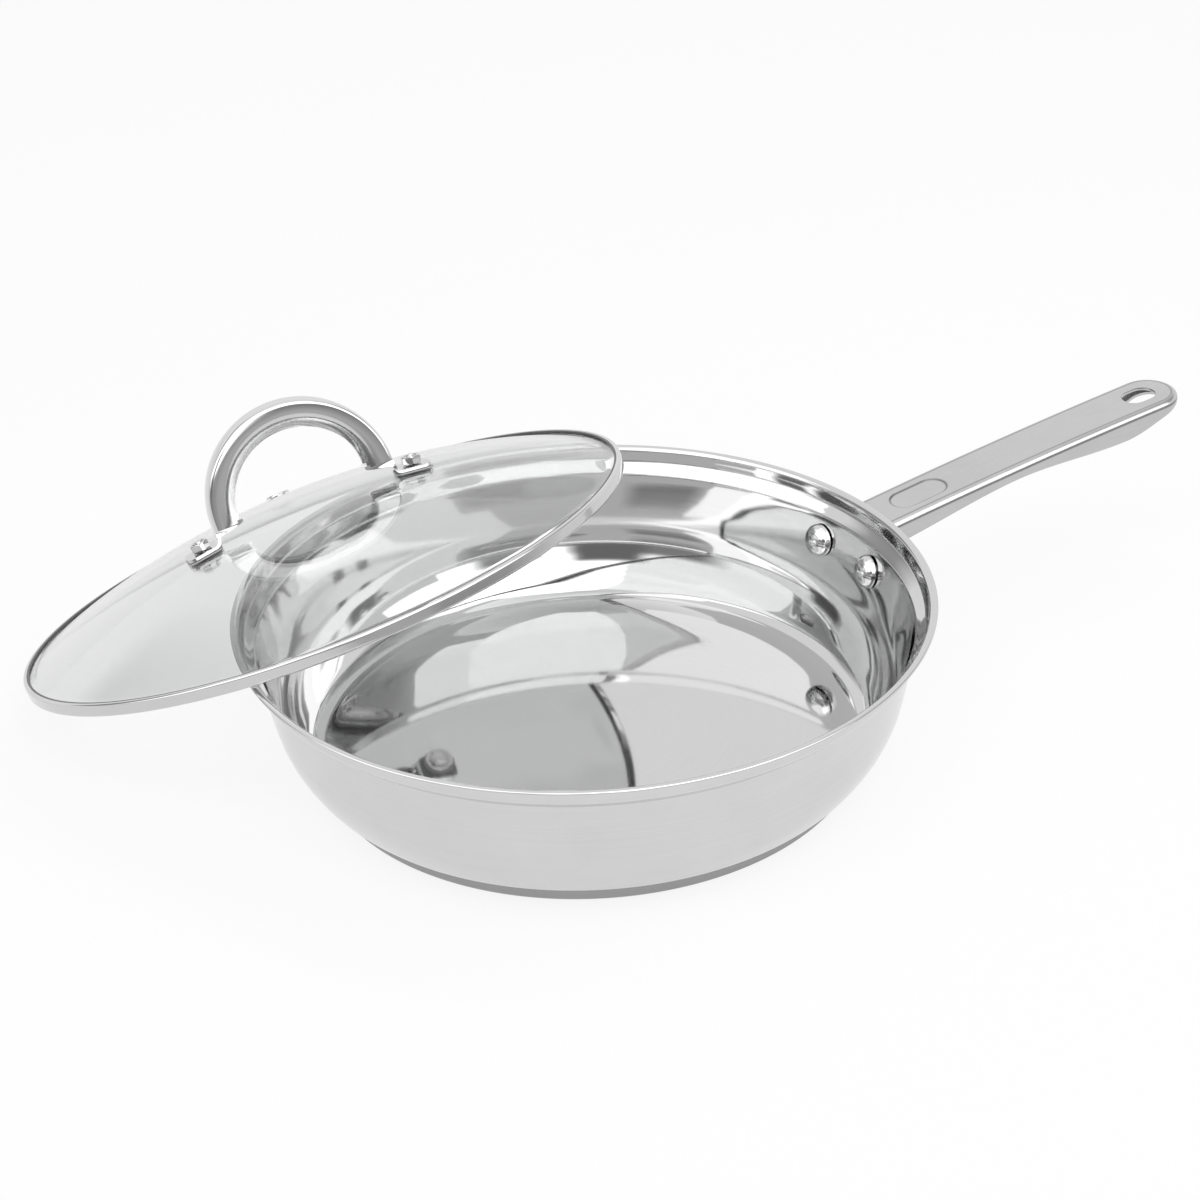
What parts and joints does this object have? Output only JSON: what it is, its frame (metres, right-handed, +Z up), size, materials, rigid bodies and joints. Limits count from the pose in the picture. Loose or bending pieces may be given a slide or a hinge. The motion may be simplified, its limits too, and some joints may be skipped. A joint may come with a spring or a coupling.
{
  "type": "egg pan with lid",
  "caption": "Round polished steel pan with a bonded base, a long riveted channel handle and a domed glass lid with a bent steel loop, leaning on the pan's lip.",
  "frame": {"origin": "the middle of the underside of the base, on the surface the pan stands on", "axes": "+X along the long handle, away from the pan, +Z up"},
  "size_m": [0.445, 0.3447, 0.108],
  "materials": {
    "polished_steel": "mirror polished inside, fine satin outside",
    "satin_steel": "satin",
    "bright_steel": "bright",
    "core_aluminium": "hidden, as cut",
    "clear_glass": "clear, tempered",
    "grey_silicone": "matt"
  },
  "bodies": {
    "pan": {"pan_body": "polished_steel", "base_core": "core_aluminium", "base_cap": "satin_steel", "handle_channel": "satin_steel", "handle_bracket": "satin_steel", "handle_rivet_left": "polished_steel", "handle_rivet_right": "polished_steel"},
    "lid": {"lid_glass": "clear_glass", "lid_rim_band": "polished_steel", "lid_loop": "bright_steel", "lid_gasket_left": "grey_silicone", "lid_gasket_right": "grey_silicone", "lid_nut_left": "bright_steel", "lid_nut_right": "bright_steel", "lid_screw_left": "bright_steel", "lid_screw_right": "bright_steel", "lid_lower_gasket_left": "grey_silicone", "lid_lower_gasket_right": "grey_silicone", "lid_washer_left": "bright_steel", "lid_washer_right": "bright_steel", "steam_vent_eyelet": "bright_steel"}
  },
  "joints": [
    {"name": "lid_lift", "type": "slide", "parent": "pan", "child": "lid", "axis": [0, 0, 1], "range_m": [0, 0.15]}
  ]
}
